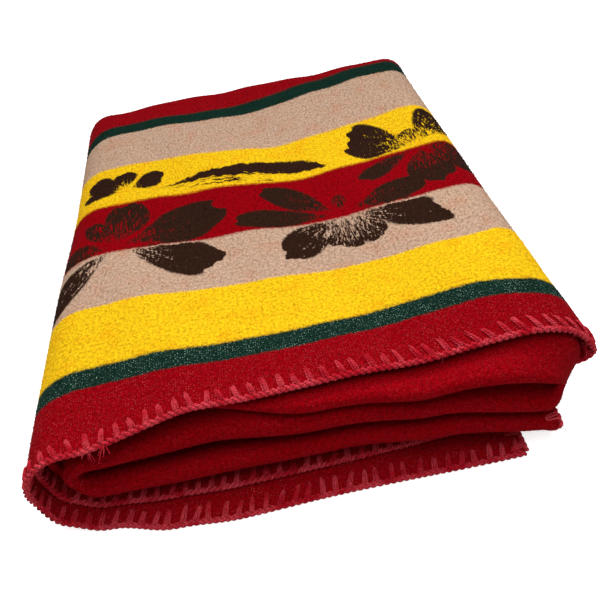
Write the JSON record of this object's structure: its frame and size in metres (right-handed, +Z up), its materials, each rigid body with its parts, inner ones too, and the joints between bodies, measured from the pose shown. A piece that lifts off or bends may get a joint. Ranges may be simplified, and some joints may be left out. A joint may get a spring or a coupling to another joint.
{
  "type": "folded basotho blanket",
  "caption": "Thick woven wool blanket with a stitched hem, folded in quarters both ways into a soft flat pile that rests on a shelf, bed or table.",
  "frame": {"origin": "middle of the pile's footprint, on the surface it lies on", "axes": "+X along the stitched front hem to the right, +Y from the front hem to the back fold, +Z up"},
  "size_m": [0.4252, 0.458, 0.0985],
  "materials": {
    "blanket_wool": "napped woven wool, red with yellow, beige, green and brown bands"
  },
  "bodies": {
    "root": {"blanket": "blanket_wool"}
  },
  "joints": []
}
